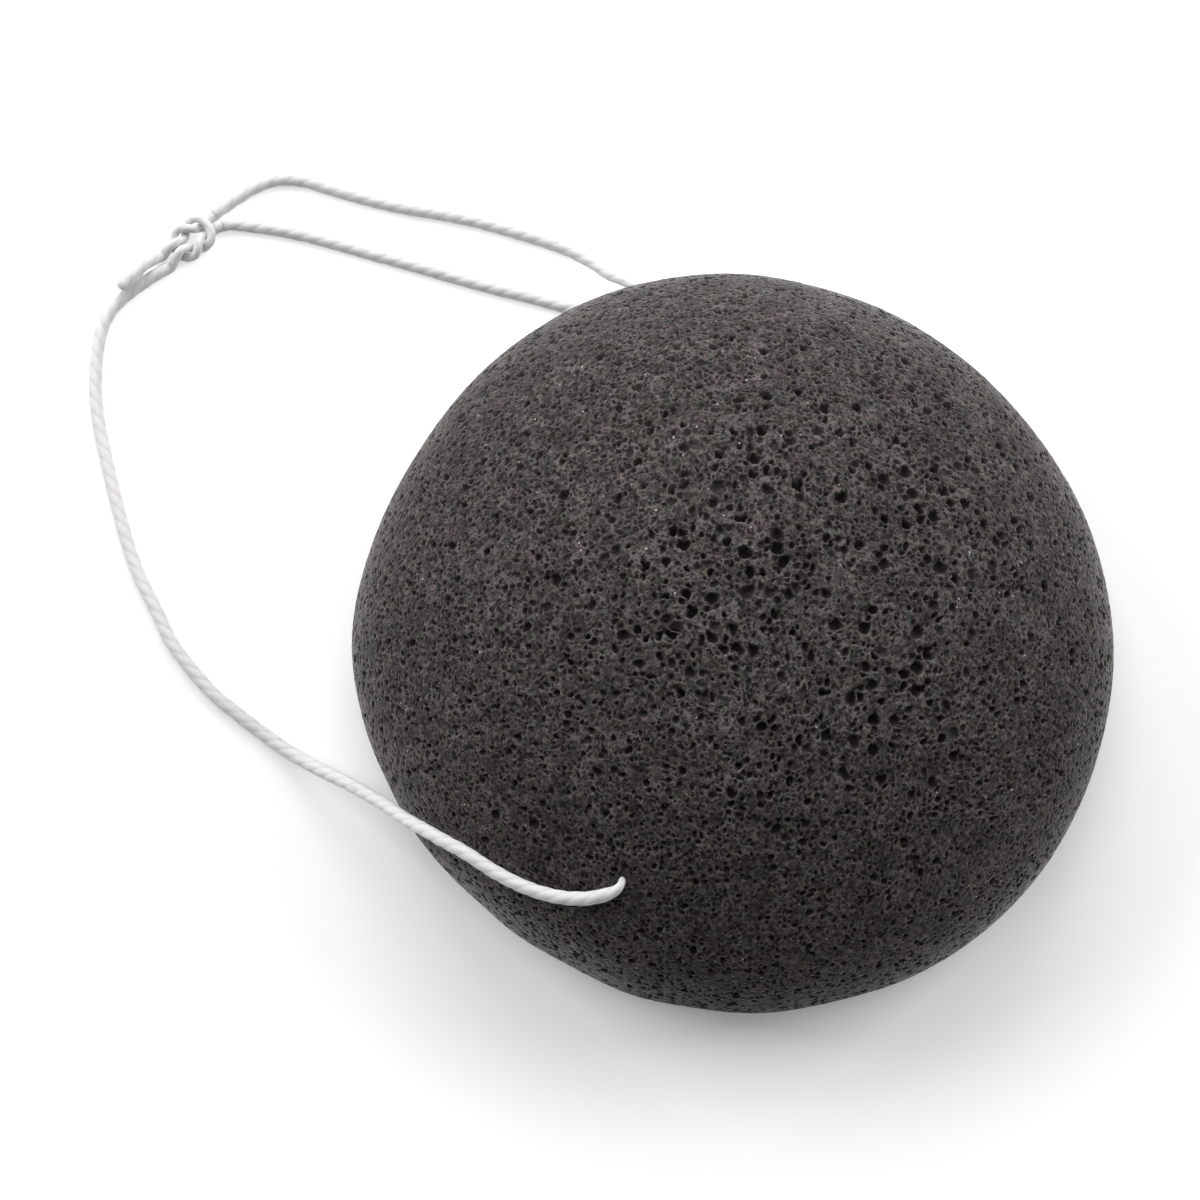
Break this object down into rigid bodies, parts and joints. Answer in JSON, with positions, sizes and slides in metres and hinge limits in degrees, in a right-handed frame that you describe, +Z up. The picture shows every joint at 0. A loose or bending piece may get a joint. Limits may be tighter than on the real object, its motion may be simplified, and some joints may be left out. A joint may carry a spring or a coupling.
{
  "type": "konjac face sponge",
  "caption": "Half-ball charcoal konjac face sponge with a rolled rim, and a thin cotton hanging string threaded through the foam and tied in a small reef knot.",
  "frame": {"origin": "centre of the flat base", "axes": "+Z up to the crown, -Y towards the mouth that the string comes out of near the crown, -X towards the string's loop"},
  "size_m": [0.1106, 0.0958, 0.036],
  "materials": {
    "konjac_foam": "matte open-cell konjac foam, charcoal grey, with fine cells and scattered larger pores",
    "cotton_string": "undyed white twisted cotton, slightly fuzzy"
  },
  "bodies": {
    "root": {"sponge_body": "konjac_foam", "string_inner": "cotton_string", "string_front": "cotton_string", "string_back": "cotton_string", "knot_front_bight": "cotton_string", "knot_back_bight": "cotton_string", "string_tail_short": "cotton_string", "string_tail_long": "cotton_string"}
  },
  "joints": []
}
